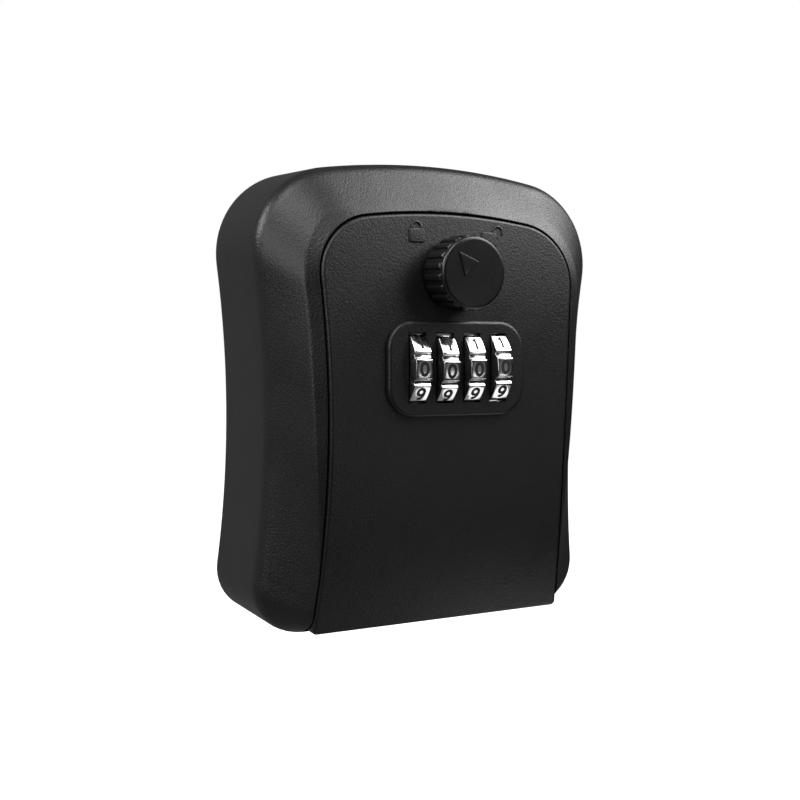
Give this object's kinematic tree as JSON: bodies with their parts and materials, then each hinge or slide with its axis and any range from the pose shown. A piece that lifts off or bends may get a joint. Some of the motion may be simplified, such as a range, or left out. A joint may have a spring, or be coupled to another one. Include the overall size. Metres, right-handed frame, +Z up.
{
  "type": "key lock box",
  "caption": "Wall-mounted key lock box with hollow sides, a domed drop-down door, dial wheels in a raised panel and a fluted turning knob.",
  "frame": {"origin": "centre of the four wall-screw holes, on the back face that lies against the wall", "axes": "+X to the right seen from the front, +Y into the wall, +Z up"},
  "size_m": [0.0974, 0.0488, 0.118],
  "materials": {
    "case_plastic": "fine moulded grain, satin black",
    "door_plastic": "fine moulded grain, satin black",
    "knob_plastic": "matt black with a polished rim",
    "lever_plastic": "grey acetal",
    "wheel_chrome": "plated zinc with black digits",
    "sleeve_brass": "turned brass",
    "bush_brass": "turned brass",
    "zinc_plated_steel": "zinc plated sheet",
    "cover_steel": "black powder coat",
    "screw_steel": "zinc plated",
    "pin_steel": "ground steel",
    "spring_steel": "spring steel"
  },
  "bodies": {
    "case": {"case": "case_plastic", "key_tray": "case_plastic", "back_plate": "zinc_plated_steel", "back_plate_screws": "screw_steel", "strike_plate": "zinc_plated_steel", "strike_screws": "screw_steel", "hinge_pins": "pin_steel"},
    "door": {"door_panel": "door_plastic", "lock_chassis": "zinc_plated_steel", "chassis_screws": "screw_steel", "inner_cover": "cover_steel", "cover_screws": "screw_steel", "wheel_axle": "pin_steel", "axle_clips": "spring_steel", "detent_spring": "spring_steel", "detent_screws": "screw_steel", "knob_bush": "bush_brass", "fence_springs": "spring_steel", "sleeve_spring": "spring_steel"},
    "knob": {"knob": "knob_plastic", "knob_shaft": "pin_steel", "shaft_cam": "zinc_plated_steel", "latch_tongue": "zinc_plated_steel", "tongue_washer": "zinc_plated_steel", "tongue_screw": "screw_steel"},
    "fence": {"fence_bar": "zinc_plated_steel"},
    "reset_lever": {"reset_lever": "lever_plastic"},
    "reset_fork": {"reset_fork": "lever_plastic"},
    "wheel_1": {"dial_wheel_1": "wheel_chrome"},
    "sleeve_1": {"gate_sleeve_1": "sleeve_brass"},
    "wheel_2": {"dial_wheel_2": "wheel_chrome"},
    "sleeve_2": {"gate_sleeve_2": "sleeve_brass"},
    "wheel_3": {"dial_wheel_3": "wheel_chrome"},
    "sleeve_3": {"gate_sleeve_3": "sleeve_brass"},
    "wheel_4": {"dial_wheel_4": "wheel_chrome"},
    "sleeve_4": {"gate_sleeve_4": "sleeve_brass"}
  },
  "joints": [
    {"name": "door_swing", "type": "hinge", "parent": "case", "child": "door", "pos_m": [0, -0.032, -0.0505], "axis": [1, 0, 0], "range_deg": [0, 95]},
    {"name": "knob_turn", "type": "hinge", "parent": "door", "child": "knob", "pos_m": [0, -0.0385, 0.031], "axis": [0, 1, 0], "range_deg": [0, 90]},
    {"name": "fence_drop", "type": "slide", "parent": "door", "child": "fence", "axis": [0, 0, -1], "range_m": [0, 0.0016], "deforming": ["fence_springs"]},
    {"name": "wheel_1_turn", "type": "hinge", "parent": "door", "child": "wheel_1", "pos_m": [0, -0.03525, 0.0074], "axis": [1, 0, 0], "continuous": true},
    {"name": "wheel_2_turn", "type": "hinge", "parent": "door", "child": "wheel_2", "pos_m": [0, -0.03525, 0.0074], "axis": [1, 0, 0], "continuous": true},
    {"name": "wheel_3_turn", "type": "hinge", "parent": "door", "child": "wheel_3", "pos_m": [0, -0.03525, 0.0074], "axis": [1, 0, 0], "continuous": true},
    {"name": "wheel_4_turn", "type": "hinge", "parent": "door", "child": "wheel_4", "pos_m": [0, -0.03525, 0.0074], "axis": [1, 0, 0], "continuous": true},
    {"name": "reset_slide", "type": "slide", "parent": "door", "child": "reset_lever", "axis": [0, 0, 1], "range_m": [0, 0.004]},
    {"name": "fork_shift", "type": "slide", "parent": "door", "child": "reset_fork", "axis": [1, 0, 0], "range_m": [0, 0.0014]},
    {"name": "sleeve_1_shift", "type": "slide", "parent": "wheel_1", "child": "sleeve_1", "axis": [1, 0, 0], "range_m": [0, 0.0014]},
    {"name": "sleeve_2_shift", "type": "slide", "parent": "wheel_2", "child": "sleeve_2", "axis": [1, 0, 0], "range_m": [0, 0.0014]},
    {"name": "sleeve_3_shift", "type": "slide", "parent": "wheel_3", "child": "sleeve_3", "axis": [1, 0, 0], "range_m": [0, 0.0014]},
    {"name": "sleeve_4_shift", "type": "slide", "parent": "wheel_4", "child": "sleeve_4", "axis": [1, 0, 0], "range_m": [0, 0.0014], "deforming": ["sleeve_spring"]}
  ],
  "couplings": [
    {"joint": "fence_drop", "follows": "knob_turn", "m_per_rad": 0.0010185},
    {"joint": "fork_shift", "follows": "reset_slide", "ratio": 0.35},
    {"joint": "sleeve_1_shift", "follows": "reset_slide", "ratio": 0.35},
    {"joint": "sleeve_2_shift", "follows": "reset_slide", "ratio": 0.35},
    {"joint": "sleeve_3_shift", "follows": "reset_slide", "ratio": 0.35},
    {"joint": "sleeve_4_shift", "follows": "reset_slide", "ratio": 0.35}
  ]
}
